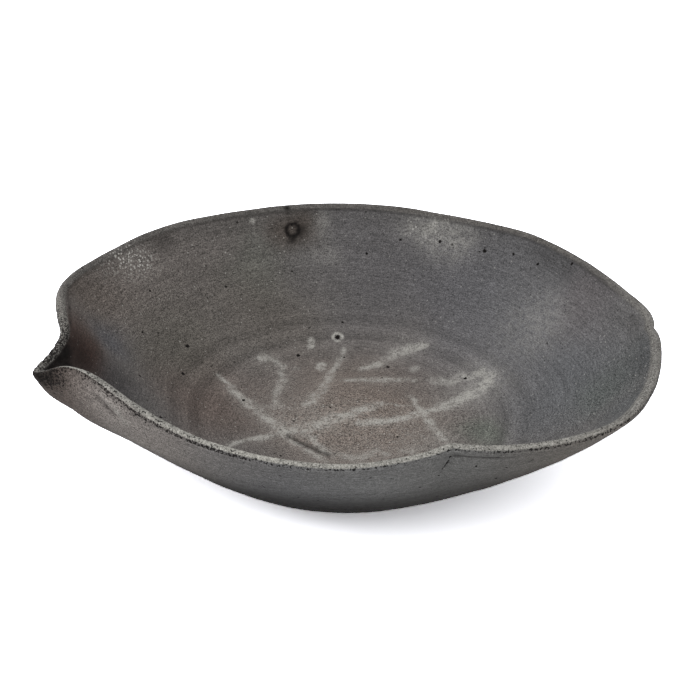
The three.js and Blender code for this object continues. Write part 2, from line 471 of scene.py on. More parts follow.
# The spans of a noise that count, the usual one and a closer one, and how far the clay's tone and
# the foot's follow each noise
USUAL_SPAN = (0.3, 0.7)
CLOSE_SPAN = (0.35, 0.65)
SPECK_SWAY = (-0.5, 0.5)
DASH_SWAY = 0.2
GRAIN_SWAY = 0.07
CLOUD_SWAY = 0.06
STREAK_SWAY = 0.1
FOOT_GRAIN_SWAY = 0.18
FOOT_CLOUD_SWAY = 0.15

# Spans of one value and what they become of another: pale ash and painted highlight by specks and
# blotches, soot and painted shade by specks, sand on the lip by tears, roughness by grain, the pits'
# edges, and the least noise that tears
PALE_BY_SPECK = (0.36, 0.55, 0.35, 1.0)
PALE_BY_BLOTCH = (0.37, 0.54, 0.4, 1.1)
DARK_BY_SPECK = (0.3, 0.6, 0.85, 1.15)
SAND_BY_TEARS = (0, 0.8, 0.4, 0.8)
ROUGHNESS_BY_GRAIN = (0.3, 0.7, 0.64, 0.8)
PIT_EDGE_BY_SPECK = (0.3, 0.7, -0.3, 0.3)
PIT_DARK = (1.15, 0.85)
TEARS_LEAST = (0, 1.3, 0.7, 0.43)
TEARS_SOFTNESS = 0.05
TEARS_FROM = 0.03

# Grains and pits: spacing and width in millimetres, and the share of them that is there
LIGHT_GRAINS = (2.0, 0.65, 0.2)
DARK_GRAINS = (2.1, 0.85, 0.25)
SMALL_PITS = (7, 1.1, 0.3)
WHITE_GRAINS = (1.2, 0.95, 0.5)
LIP_SAND = (0.95, 0.75, 0.4)
FOOT_PITS = (3, 0.9, 0.4)
FOOT_GRAINS = (1.6, 0.7, 0.3)
GRAIN_EDGE = (0.6, 0.35)

# How strongly the grains, the pits and the tears colour the clay
DARK_GRAIN_SHARE = 0.5
LIGHT_GRAIN_SHARE = 0.4
PIT_SHARE = 0.8
TEAR_SHARE = 0.92
FOOT_GRAIN_SHARE = 0.5

# Bumps: their strength, what specks, dashes and pits add to them, and their depth in millimetres
BUMP_STRENGTH = 0.6
SPECK_BUMP = 0.6
DASH_BUMP = 0.4
PIT_BUMP = 1.5
CLAY_BUMP = 0.3
FOOT_BUMP = 0.25

# Shine: how much each clay mirrors, and how rough the foot is
CLAY_SPECULAR = 0.1
FOOT_SPECULAR = 0.25
FOOT_ROUGHNESS = 0.85


def linear(level):
    """One channel of a colour as it looks, from 0 to 255, as the linear value that Blender uses."""
    share = level / 255
    if level > 10:
        return ((share + 0.055) / 1.055) ** 2.4
    return share / 12.92


def shade(red, green, blue):
    """A colour given as it looks, from 0 to 255, in linear values."""
    return (linear(red), linear(green), linear(blue))


# Broad colours of the clay, and those of its painted highlight and shade
INSIDE_CLAY = shade(102, 100, 99)
OUTSIDE_CLAY = shade(109, 107, 105)
ASH_AND_HIGHLIGHT_COLOUR = shade(182, 180, 174)
GRIT_AND_GLINT_COLOUR = shade(202, 200, 194)
RIM_COLOUR = shade(149, 147, 141)
BACK_RIM_COLOUR = shade(102, 99, 96)
CROWN_HIGHLIGHT_COLOUR = shade(146, 144, 139)
SOOT_AND_SHADE_COLOUR = shade(15, 12, 11)
FOOT_COLOUR = shade(92, 84, 76)

# Where the clay's colour drifts: [x, y, width, share, colour], inside and outside; outside they
# also paint light, lighter towards the front and most at the front left
INSIDE_DRIFTS = [
    [-99, 58, 85, 0.9, shade(112, 106, 102)],
    [-55, 92, 60, 0.6, shade(95, 90, 86)],
    [-41, 92, 28, 0.5, shade(102, 105, 98)],
    [11, 95, 60, 0.6, shade(92, 90, 92)],
    [50, 80, 40, 0.6, shade(86, 84, 87)],
    [80, 50, 95, 0.85, shade(99, 99, 102)],
    [100, -5, 60, 0.7, shade(97, 99, 102)],
    [110, 39, 34, 0.6, shade(104, 99, 100)],
    [116, -25, 34, 0.8, shade(92, 96, 94)],
    [130, -22, 30, 0.9, shade(82, 83, 84)],
    [120, -60, 34, 0.8, shade(86, 88, 89)],
    [95, 72, 34, 0.5, shade(92, 91, 92)],
    [-80, 40, 50, 0.8, shade(89, 86, 80)],
    [-40, 72, 50, 0.6, shade(97, 92, 86)],
    [3, 3, 92, 1.0, shade(116, 106, 99)],
    [-62, 8, 50, 0.9, shade(94, 84, 79)],
    [59, -12, 20, 0.8, shade(98, 102, 95)],
    [-122, 38, 40, 0.7, shade(92, 84, 78)],
    [-120, 2, 26, 0.8, shade(72, 58, 52)],
    [-107, 18, 22, 0.7, shade(80, 81, 86)],
    [-104, -14, 26, 0.6, shade(70, 68, 70)],
    [-28, 105, 18, 0.75, shade(72, 63, 56)],
    [-119, -12, 30, 0.85, shade(62, 44, 38)],
]
OUTSIDE_DRIFTS_AND_LIGHT = [
    [-95, -78, 90, 0.95, shade(140, 134, 130)],
    [8, -105, 50, 0.9, shade(129, 129, 129)],
    [50, -100, 50, 0.8, shade(121, 121, 120)],
    [-30, -90, 50, 0.6, shade(117, 118, 121)],
    [95, -80, 60, 0.7, shade(128, 123, 117)],
    [-123, -46, 36, 0.8, shade(88, 76, 70)],
    [100, 50, 90, 0.6, shade(102, 103, 107)],
    [-20, 110, 90, 0.7, shade(104, 98, 92)],
]

foot_low, foot_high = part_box("foot_ring")
AXIS = (foot_low + foot_high) / 2


def clouds(points, size, seed):
    """Smooth noise between about -1 and 1 at each point; size is the spacing of its clouds."""
    return np.array([noise.noise(p) for p in (points / size + SEED_STEP * seed).tolist()])


def ramp(values, start, end):
    """0 at start and 1 at end, with a smooth turn at both."""
    t = np.clip((values - start) / (end - start), 0, 1)
    return t * t * (3 - 2 * t)


def fine_copy(name, node, levels):
    """A new piece with a node's shape: its triangles joined to quads and rounded by subdivision."""
    bm = bmesh.new()
    bm.from_mesh(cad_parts[node].data)
    bmesh.ops.remove_doubles(bm, verts=bm.verts, dist=MERGE_DISTANCE)
    bmesh.ops.join_triangles(
        bm, faces=bm.faces, angle_face_threshold=math.pi, angle_shape_threshold=math.pi
    )
    coarse = bpy.data.meshes.new(name)
    bm.to_mesh(coarse)
    bm.free()
    piece = bpy.data.objects.new(name, coarse)
    bpy.context.scene.collection.objects.link(piece)
    rounding = piece.modifiers.new("rounding", "SUBSURF")
    rounding.levels = levels
    rounding.render_levels = levels
    bpy.context.view_layer.update()
    rounded = piece.evaluated_get(bpy.context.evaluated_depsgraph_get())
    fine = bpy.data.meshes.new_from_object(rounded)
    piece.modifiers.clear()
    piece.data = fine
    bpy.data.meshes.remove(coarse)
    fine.name = name
    fine.shade_smooth()
    return piece


def read_vectors(mesh, layer, field):
    """A field of three numbers for each corner of a mesh, one corner in a row."""
    values = np.empty(len(mesh.vertices) * 3)
    getattr(mesh, layer).foreach_get(field, values)
    return values.reshape(-1, 3)


class Thrown:
    """Where each corner of a fine piece lies on the thrown shape, in millimetres about its axis."""

    def __init__(self, mesh):
        self.points = read_vectors(mesh, "vertices", "co") / MM - [AXIS.x / MM, AXIS.y / MM, 0]
        self.normals = read_vectors(mesh, "vertex_normals", "vector")
        x, y, self.height = self.points.T
        self.radius = np.hypot(x, y)
        self.angle = np.arctan2(y, x)
        self.degrees = np.degrees(self.angle) % 360
        self.rim_height = self.rim_heights()
        self.below_rim = self.rim_height - self.height
        self.travel = self.travelled()
        outward = self.normals[:, 0] * x + self.normals[:, 1] * y
        smallest = 1e-6
        leaning = outward / np.maximum(self.radius, smallest)
        self.facing = (self.normals[:, 2] - leaning) / math.sqrt(2)
        self.over_lip = (np.arcsin(np.clip(self.facing, -1, 1)) + LIP_START) / math.pi
        self.inside = ramp(self.facing, *INSIDE_FACING) * (self.height > INSIDE_LOWEST)
        self.outside = ramp(self.facing, *OUTSIDE_FACING)
        self.near_rim = ramp(self.below_rim, *RIM_DEPTH) * (self.height > RIM_LOWEST)

    def rim_heights(self):
        """The height of the rim above each corner."""
        turns = 360
        place = (self.angle / (2 * math.pi) % 1) * turns
        tallest = np.zeros(turns)
        np.maximum.at(tallest, place.astype(int) % turns, self.height)
        reach = 2
        smooth = sum(np.roll(tallest, k) for k in range(-reach, reach + 1)) / (2 * reach + 1)
        centres = np.arange(turns + 2) - 0.5
        return np.interp(place, centres, np.concatenate([smooth[-1:], smooth, smooth[:1]]))

    def travelled(self):
        """How far each corner lies from the axis, measured over the floor and then up the wall."""
        climbed = np.clip((self.height - FLOOR_TOP) / (self.rim_height - FLOOR_TOP), 0, 1)
        flare = WALL_FLARE / (2 * (1 - WALL_FLARE))
        climb = np.sqrt(flare * flare + climbed / (1 - WALL_FLARE)) - flare
        return np.where(climbed > 0, FLOOR_RADIUS + WALL_TRAVEL * climb, self.radius)

    def lift(self, x, y):
        """The point of the inner skin over a place in plan."""
        apart = (self.points[:, 0] - x) ** 2 + (self.points[:, 1] - y) ** 2
        return self.points[np.argmin(np.where(self.inside > 0.5, apart, np.inf))]


def along(points, line):
    """How far each point lies from a line of places that end in a width, in half widths."""
    best = np.full(len(points), np.inf)
    size = len(line[0]) - 1
    for start, end in zip(line, line[1:]):
        a = np.array(start[:size])
        run = np.array(end[:size]) - a
        from_start = points[:, :size] - a
        t = np.clip(from_start @ run / (run @ run), 0, 1)
        apart = np.linalg.norm(from_start - t[:, None] * run, axis=1)
        half_width = (start[size] + (end[size] - start[size]) * t) / 2
        best = np.minimum(best, apart / half_width)
    return best


def fall(apart, edge=2.0):
    """1 at no distance and a half at one half width; a high edge makes the fall sharp."""
    farthest = 9
    return np.exp(-(np.minimum(apart, farthest) ** edge) * math.log(2))


def round_spot(points, centre, width, edge=2.0):
    """1 at the centre of a round spot, and a half at half its width."""
    return fall(np.linalg.norm(points - centre, axis=1) / (width / 2), edge)


def plan_spot(points, x, y, width, edge):
    """The same for a spot in plan, at every height."""
    return fall(np.hypot(points[:, 0] - x, points[:, 1] - y) / (width / 2), edge)


def inner_spots(thrown, points, listed, edge=2.0):
    """The strongest of some spots on the inner skin, [x, y, width, strength], at each point."""
    found = np.zeros(len(points))
    for x, y, width, strength in listed:
        found = np.maximum(found, strength * round_spot(points, thrown.lift(x, y), width, edge))
    return found * thrown.inside


def outer_spots(thrown, listed):
    """The same for spots on the outer skin, [x, y, z, width, strength]."""
    found = np.zeros(len(thrown.points))
    for x, y, z, width, strength in listed:
        found = np.maximum(found, strength * round_spot(thrown.points, [x, y, z], width))
    return found * (1 - thrown.inside)


def ring_spot(thrown, points, ring, edge):
    """1 on a ring on the inner skin, [x, y, radius, thickness], falling off to both sides."""
    x, y, radius, thickness = ring
    apart = np.abs(np.linalg.norm(points - thrown.lift(x, y), axis=1) - radius)
    return fall(apart / (thickness / 2), edge) * thrown.inside


def strayed(points, stray):
    """The points, each moved aside by a smooth noise, so that what is painted there gets ragged."""
    size, reach, seed = stray
    return points + reach * np.stack([clouds(points, size, seed + k) for k in range(3)], axis=1)


def from_nearest_pit(thrown):
    """The way from the nearest black pit's middle to each point, in the pit's half widths."""
    pits = [[*thrown.lift(x, y), width] for x, y, width in BLACK_PITS] + OUTSIDE_PITS
    nearest = np.full(len(thrown.points), np.inf)
    ways = np.zeros_like(thrown.points)
    for x, y, z, width in pits:
        way = (thrown.points - [x, y, z]) / (width / 2)
        apart = np.linalg.norm(way, axis=1)
        ways[apart < nearest] = way[apart < nearest]
        nearest = np.minimum(nearest, apart)
    return ways


def black_pits(thrown):
    """How far each point lies in one of the black pits, from 0 to 1."""
    return fall(np.linalg.norm(from_nearest_pit(thrown), axis=1), PIT_EDGE)


def strokes(thrown, column):
    """The sum of the strokes, each with its depth or its painted light and shade."""
    total = np.zeros(len(thrown.points))
    for listed, side in ((OUTSIDE_STROKES, 1 - thrown.inside), (INSIDE_STROKES, thrown.inside)):
        for stroke in listed:
            total += stroke[column] * fall(along(thrown.points, stroke[:2]), STROKE_EDGE) * side
    return total


def lip_share(thrown, column):
    """What the lip is like at each point's place around the rim, from a column of its list."""
    at = LIP_COLUMNS.index(column)
    return np.interp(thrown.degrees, [row[0] for row in LIP], [row[at] for row in LIP], period=360)


def past(thrown, start):
    """1 past a place over the lip and 0 before it, with a narrow soft edge."""
    return ramp(thrown.over_lip, start - LIP_EDGE, start + LIP_EDGE)


def lip_band(thrown):
    """How far each point lies on the lip, from its pale band's start to some way down inside."""
    down_inside = np.where(thrown.over_lip > LIP_CROWN, thrown.below_rim - LIP_DROP, 0)
    reach = lip_share(thrown, "reach")
    full = np.maximum(reach - BAND_END_IN, BAND_END_LEAST)
    inner_end = ramp(down_inside, reach + BAND_END_OUT, full)
    return past(thrown, lip_share(thrown, "band start")) * inner_end * thrown.near_rim


def pit_row(thrown):
    """How far each point lies in the row of pits between the lip's outer edge and its band."""
    end = lip_share(thrown, "band start")
    row = past(thrown, lip_share(thrown, "pits start"))
    row *= ramp(thrown.over_lip, end + ROW_OVERLAP, end - ROW_FADE)
    return row * np.minimum(ROW_STRENGTH * lip_share(thrown, "pitted"), ROW_MOST) * thrown.near_rim


def torn(thrown):
    """How torn and pitted the clay is: on the lip, most in its row of pits, and by the spout."""
    scattered = SCATTERED_PITS * lip_band(thrown) * lip_share(thrown, "pitted") ** 2
    return np.maximum(np.maximum(scattered, pit_row(thrown)), outer_spots(thrown, OUTSIDE_TORN))


def throwing_wave(thrown):
    """The ridges of throwing, from 1 on a crest to -1 in a hollow."""
    return np.cos((thrown.travel - RIDGE_FIRST_CREST) * 2 * math.pi / RIDGE_PITCH)


def relief(thrown):
    """How far each corner moves along its normal, in millimetres."""
    points = thrown.points
    in_plan = points * [1, 1, 0]
    fade = 1 - RIDGES_FADED * ramp(thrown.travel, *RIDGES_FADE)
    ridge = RIDGE_HEIGHT * throwing_wave(thrown) * ramp(thrown.travel, *RIDGES_RISE) * fade
    drift = FINE_RIDGE_DRIFT * clouds(in_plan, FINE_RIDGE_DRIFT_SIZE, seed=1)
    fine = FINE_RIDGE_HEIGHT * np.cos((thrown.travel + drift) * 2 * math.pi / FINE_RIDGE_PITCH)
    wobble = WOBBLE_HEIGHT * clouds(points, WOBBLE_SIZE, seed=2)
    off_the_foot = np.clip(ramp(thrown.radius, *FOOT_EDGE) + thrown.inside, 0, 1)
    wave = RIM_WAVE_HEIGHT * clouds(in_plan, RIM_WAVE_SIZE, seed=3) * thrown.near_rim
    on_lip = ramp(thrown.over_lip, *GRIT_RISE) * ramp(thrown.over_lip, *GRIT_FADE) * thrown.near_rim
    gritty = GRIT_OFF_LIP + (1 - GRIT_OFF_LIP) * on_lip * lip_share(thrown, "pitted")
    grit = GRIT_HEIGHT * clouds(points, GRIT_SIZE, seed=4) * gritty
    rags = TORN_DEPTH * torn(thrown) * ramp(clouds(points, TORN_SIZE, seed=9), *TORN_SPAN)
    sunken = PIT_DEPTH * black_pits(thrown) + rags + strokes(thrown, STROKE_DEPTH)
    return (ridge + fine + wobble) * off_the_foot + wave + grit - sunken


def lay_relief(piece):
    """Moves a piece's corners by the relief, and gives back where they came from."""
    mesh = piece.data
    thrown = Thrown(mesh)
    moved = read_vectors(mesh, "vertices", "co") + thrown.normals * relief(thrown)[:, None] * MM
    mesh.vertices.foreach_set("co", moved.ravel())
    mesh.update()
    return thrown


def write_layer(mesh, name, kind, field, values):
    """Writes a layer of values on a mesh's corners."""
    layer = mesh.attributes.new(name, kind, "POINT")
    layer.data.foreach_set(field, values.astype(np.float32).ravel())


def drifted(thrown, points, base, drifts, lifted):
    """A colour at each point: the base colour, drifting to each listed one around its place."""
    colours = np.tile(np.array(base), (len(points), 1))
    for x, y, width, share, colour in drifts:
        if lifted:
            near = round_spot(points, thrown.lift(x, y), width, DRIFT_EDGE)
        else:
            near = plan_spot(points, x, y, width, DRIFT_EDGE)
        colours += (np.array(colour) - colours) * (share * near)[:, None]
    return colours


def ridge_shaded(thrown, colours):
    """The colours with rings of painted light and shade over the throwing ridges at the wall's foot."""
    fade = 1 - ramp(thrown.travel, *RIDGE_SHADING_FADE)
    wave = throwing_wave(thrown) * ramp(thrown.travel, *RIDGE_SHADING_RISE) * fade * thrown.inside
    return colours * (1 + RIDGE_SHADING * wave[:, None])


def ash_marks(thrown):
    """How pale the straw, the ash and the pebble left the clay."""
    ragged = strayed(strayed(thrown.points, ASH_STRAY), ASH_FINE_STRAY)
    ash = inner_spots(thrown, ragged, PALE_SPOTS, PALE_SPOT_EDGE)
    for line, strength in STRAW_MARKS:
        apart = along(ragged, line)
        mark = np.maximum(fall(apart, STRAW_EDGE), HALO_STRENGTH * fall(apart / HALO_WIDTH))
        ash = np.maximum(ash, strength * mark * thrown.inside)
    ring = ring_spot(thrown, thrown.points, PALE_RING, PALE_RING_EDGE)
    return np.maximum(ash, PALE_RING_STRENGTH * ring)


def shade_and_soot(thrown):
    """Painted shade in the wall's folds, and soot and painted shade in the spout; less on the lip."""
    dark = inner_spots(thrown, strayed(thrown.points, PATCH_STRAY), SHADE_PATCHES)
    curled = strayed(thrown.points, SPOUT_STRAY)
    # Soot in the spout, with painted shade in its deep fold
    for x, y, z, width, strength in SPOUT_SOOT_AND_SHADE:
        soot = strength * round_spot(curled, [x, y, z], width, SPOUT_EDGE)
        dark = np.maximum(dark, soot * thrown.inside)
    return dark * (1 - OFF_THE_LIP * lip_band(thrown))


def burnt(thrown):
    """How dark the burnt ring on the back wall and the smudges by it are, with jagged edges."""
    jagged = strayed(strayed(thrown.points, BURNT_STRAY), BURNT_FINE_STRAY)
    ring = DARK_RING_STRENGTH * ring_spot(thrown, jagged, DARK_RING, DARK_RING_EDGE)
    return np.maximum(ring, inner_spots(thrown, jagged, SMUDGES))


def straw_thread(thrown):
    """How dark the thread of straw in the pale mark is."""
    ragged = strayed(thrown.points, THREAD_STRAY)
    return THREAD_STRENGTH * fall(along(ragged, STRAW_THREAD), THREAD_EDGE) * thrown.inside


def ring_hollow(thrown):
    """How dark the hollow in the middle of the pebble's ring is."""
    x, y, radius, _ = PALE_RING
    hollow = round_spot(thrown.points, thrown.lift(x, y), HOLLOW_WIDTH * radius, PIT_EDGE)
    return HOLLOW_STRENGTH * hollow * thrown.inside


def under_shade(thrown):
    """How much painted shade darkens the outside towards the foot."""
    under = UNDER_STRENGTH * ramp(thrown.height, *UNDER_HEIGHTS)
    under -= UNDER_FOOT_LIFT * ramp(thrown.height, *UNDER_FOOT_HEIGHTS)
    under *= 1 - UNDER_RIGHT_LIFT * ramp(thrown.points[:, 0], *UNDER_RIGHT_PLACES)
    return under * thrown.outside


def rim_shade(thrown):
    """The dark line and the soft shade inside the rim where its lip isn't worn."""
    line = ramp(thrown.below_rim, *RIM_LINE_IN) * ramp(thrown.below_rim, *RIM_LINE_OUT)
    soft = RIM_SHADE_STRENGTH * ramp(thrown.below_rim, *RIM_SHADE_DEPTH)
    dull = ramp(lip_share(thrown, "worn"), *DULL_RIM)
    return np.maximum(RIM_LINE_STRENGTH * line, soft) * thrown.inside * dull


def darkening(thrown):
    """How dark the clay is from soot, burning and pits, and from painted shade and shadow."""
    kinds = [
        shade_and_soot(thrown),
        burnt(thrown),
        straw_thread(thrown),
        ring_hollow(thrown),
        # Soot, and painted shadow under the spout's lip, outside
        outer_spots(thrown, OUTSIDE_SOOT_AND_SHADOW),
        ROW_SHADE * pit_row(thrown) * (1 - lip_band(thrown)),
        rim_shade(thrown),
        # Painted shade towards the foot
        under_shade(thrown),
        -strokes(thrown, STROKE_SHADING),
    ]
    return np.maximum.reduce(kinds)


def sandiness(thrown):
    """How strongly the grain shows at each point; 1 is usual."""
    found = np.ones(len(thrown.points))
    for listed, side in ((SANDY_INSIDE, thrown.inside), (SANDY_OUTSIDE, thrown.outside)):
        for x, y, width, much in listed:
            found += much * plan_spot(thrown.points, x, y, width, SANDY_EDGE) * side
    return found


def turned_places(thrown):
    """Each corner's place unrolled along the throwing, with the two skins far apart."""
    skins_apart = 400
    x = np.cos(thrown.angle) * thrown.radius
    y = np.sin(thrown.angle) * thrown.radius
    return np.stack([x, y, thrown.travel + skins_apart * thrown.outside], axis=1)


def paint_bowl(mesh, thrown):
    """Writes the broad colour and the strength of each kind of mark on the bowl's corners."""
    swayed = strayed(thrown.points, BROAD_STRAY)
    # The inside gets painted light and shade over its throwing ridges
    inner = ridge_shaded(thrown, drifted(thrown, swayed, INSIDE_CLAY, INSIDE_DRIFTS, lifted=True))
    # Outside, the drifts carry painted light on the front and the front left
    outer = drifted(thrown, swayed, OUTSIDE_CLAY, OUTSIDE_DRIFTS_AND_LIGHT, lifted=False)
    clay = outer + (inner - outer) * thrown.inside[:, None]
    opaque = np.ones((len(clay), 1))
    write_layer(mesh, "clay", "FLOAT_COLOR", "color", np.concatenate([clay, opaque], axis=1))
    lip = lip_band(thrown)
    worn = lip_share(thrown, "worn")
    # The crown's painted highlight, where the lip turns over
    lit_crown = ramp(thrown.over_lip, *LIT_CROWN_OUT) * ramp(thrown.over_lip, *LIT_CROWN_IN)
    strengths = {
        "ash": ash_marks(thrown),
        # Pale ash haze, and the painted highlight on the raised side of the finger dent
        "haze_and_dent_highlight": np.maximum(inner_spots(thrown, swayed, HAZES), strokes(thrown, STROKE_SHADING)),
        # White grit, and painted glints at the back left
        "white_grit_and_glints": inner_spots(thrown, swayed, WHITE_GRIT_AND_GLINTS),
        "dark": darkening(thrown),
        "worn_lip": lip * worn,
        "dull_lip": lip * (1 - worn),
        "painted_crown_highlight": lit_crown * thrown.near_rim * lip_share(thrown, "lit_crown"),
        "torn": torn(thrown),
        "sandy": sandiness(thrown),
    }
    for name, values in strengths.items():
        write_layer(mesh, name, "FLOAT", "value", values)
    write_layer(mesh, "from_pit", "FLOAT_VECTOR", "vector", from_nearest_pit(thrown))
    write_layer(mesh, "turned", "FLOAT_VECTOR", "vector", turned_places(thrown))


class Nodes:
    """Shader nodes that are added and joined one at a time."""

    def __init__(self, tree):
        self.tree = tree

    def put(self, socket, value):
        """Joins a node's output to a socket, or writes a plain value on it."""
        if isinstance(value, bpy.types.NodeSocket):
            self.tree.links.new(value, socket)
        elif isinstance(value, tuple) and len(value) == 3 and socket.type == "RGBA":
            socket.default_value = (*value, 1)
        else:
            socket.default_value = value

    def node(self, kind, output=0, **inputs):
        """Adds a node with values on its inputs, and gives one of its outputs."""
        made = self.tree.nodes.new(kind)
        for key, value in inputs.items():
            self.put(made.inputs[key], value)
        return made.outputs[output]

    def listed(self, kind, values, operation=None):
        """Adds a node with values on its first inputs, and gives the node."""
        made = self.tree.nodes.new(kind)
        if operation:
            made.operation = operation
        for socket, value in zip(made.inputs, values):
            self.put(socket, value)
        return made

    def attribute(self, name, output="Fac"):
        """A layer that was written on the mesh's corners."""
        made = self.tree.nodes.new("ShaderNodeAttribute")
        made.attribute_name = name
        return made.outputs[output]

    def math(self, operation, *values):
        """The result of a sum on plain numbers."""
        return self.listed("ShaderNodeMath", values, operation).outputs[0]

    def product(self, first, *others):
        """The product of some numbers."""
        for other in others:
            first = self.math("MULTIPLY", first, other)
        return first

    def vector_math(self, operation, *values):
        """The node for a sum on vectors."""
        return self.listed("ShaderNodeVectorMath", values, operation)

    def range(self, value, low, high, to_low=0.0, to_high=1.0):
        """Carries the span from low to high over to that from to_low to to_high, and no further."""
        return self.listed("ShaderNodeMapRange", (value, low, high, to_low, to_high)).outputs[0]

    def sway(self, value, span, amount):
        """A factor about 1 that follows a noise over a span, up and down by an amount."""
        return self.range(value, *span, 1 - amount, 1 + amount)

    def grey(self, tone):
        """A grey of a tone."""
        return self.node("ShaderNodeCombineColor", Red=tone, Green=tone, Blue=tone)

    def mix(self, share, a, b, blend="MIX"):
        """One colour laid over another by a share."""
        made = self.tree.nodes.new("ShaderNodeMix")
        made.data_type = "RGBA"
        made.blend_type = blend
        self.put(made.inputs[0], share)
        self.put(made.inputs[6], a)
        self.put(made.inputs[7], b)
        return made.outputs[2]

    def laid(self, colour, layers):
        """A colour with layers laid over it in turn, each a share and a colour."""
        for share, over in layers:
            colour = self.mix(share, colour, over)
        return colour

    def noise(self, vector, kind, unit=MM, output="Fac"):
        """A noise of a listed kind, by a vector that counts in a unit of the list."""
        size, detail, roughness = kind
        return self.node(
            "ShaderNodeTexNoise", output, Vector=vector, Scale=1 / (size * unit), Detail=detail,
            Roughness=roughness
        )

    def grains(self, vector, kind):
        """1 in round grains of a listed kind, and 0 between them."""
        spacing, width, share = kind
        scale = 1 / (spacing * MM)
        found = self.node("ShaderNodeTexVoronoi", Vector=vector, Scale=scale).node.outputs
        outer, inner = (width / spacing * edge for edge in GRAIN_EDGE)
        near = self.range(found["Distance"], outer, inner)
        chosen = self.node("ShaderNodeSeparateColor", Color=found["Color"])
        return self.product(near, self.math("LESS_THAN", chosen, share))


class Shader(Nodes):
    """A material and its surface."""

    def __init__(self, name):
        self.material = bpy.data.materials.new(name)
        self.material.use_nodes = True
        super().__init__(self.material.node_tree)
        self.principled = self.tree.nodes["Principled BSDF"]

    def surface(self, colour, height, depth, roughness, specular):
        """Gives the surface its colour, bumps, roughness and shine, and gives the material."""
        bump = self.node(
            "ShaderNodeBump", Strength=BUMP_STRENGTH, Distance=depth * MM, Height=height
        )
        self.put(self.principled.inputs["Base Color"], colour)
        self.put(self.principled.inputs["Roughness"], roughness)
        self.put(self.principled.inputs["Normal"], bump)
        self.principled.inputs["Specular IOR Level"].default_value = specular
        return self.material


def black_pit(s, speck):
    """1 in the black pits, with uneven edges."""
    from_middle = s.vector_math("LENGTH", s.attribute("from_pit", "Vector")).outputs["Value"]
    edge = s.math("ADD", from_middle, s.range(speck, *PIT_EDGE_BY_SPECK))
    return s.range(edge, *PIT_DARK)


def torn_clay(s, place, torn_share):
    """1 in the small rags where the clay is torn: the more torn, the more of them."""
    least = s.range(torn_share, *TEARS_LEAST)
    rags = s.range(s.math("SUBTRACT", s.noise(place, RAGS), least), 0, TEARS_SOFTNESS)
    return s.product(s.math("GREATER_THAN", torn_share, TEARS_FROM), rags)


